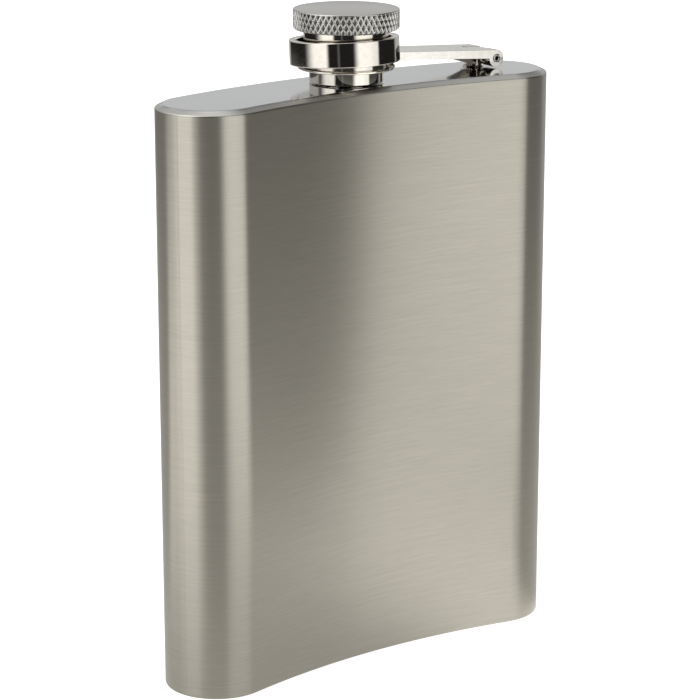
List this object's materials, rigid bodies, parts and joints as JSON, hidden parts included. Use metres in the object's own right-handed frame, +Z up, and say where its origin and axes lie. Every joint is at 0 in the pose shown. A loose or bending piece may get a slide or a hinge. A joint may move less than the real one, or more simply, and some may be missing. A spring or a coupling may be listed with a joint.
{
  "type": "hip flask",
  "caption": "Curved steel pocket flask with bevelled top plate, screw neck, and a knurled screw cap held by a ring on a hinged arm.",
  "frame": {"origin": "centre of the base's box, on the surface the flask stands on", "axes": "+Z up through the neck, +X across the width towards the cap's hinge, -Y out of the hollow face"},
  "size_m": [0.094, 0.0264, 0.1364],
  "materials": {
    "brushed_sheet": "fine horizontal brushing",
    "satin_plate": "smooth satin",
    "bright_plating": "mirror polished",
    "satin_head": "satin top, diamond knurl",
    "pin_steel": "plain rolled",
    "seal_rubber": "soft moulded"
  },
  "bodies": {
    "flask": {"body_shell": "brushed_sheet", "seam_weld": "brushed_sheet", "top_plate": "satin_plate", "bottom_plate": "brushed_sheet", "neck": "bright_plating", "hinge_post": "bright_plating"},
    "arm": {"swing_arm": "bright_plating", "cap_ring": "bright_plating", "hinge_pin": "pin_steel"},
    "cap": {"cap_sleeve": "bright_plating", "cap_head": "satin_head", "cap_gasket": "seal_rubber"}
  },
  "joints": [
    {"name": "arm_swing", "type": "hinge", "parent": "flask", "child": "arm", "pos_m": [0.0357, 0.002, 0.12335], "axis": [0, 1, 0], "range_deg": [0, 165]},
    {"name": "cap_turn", "type": "hinge", "parent": "arm", "child": "cap", "pos_m": [0, 0.002, 0.1273], "axis": [0, 0, 1], "continuous": true}
  ]
}
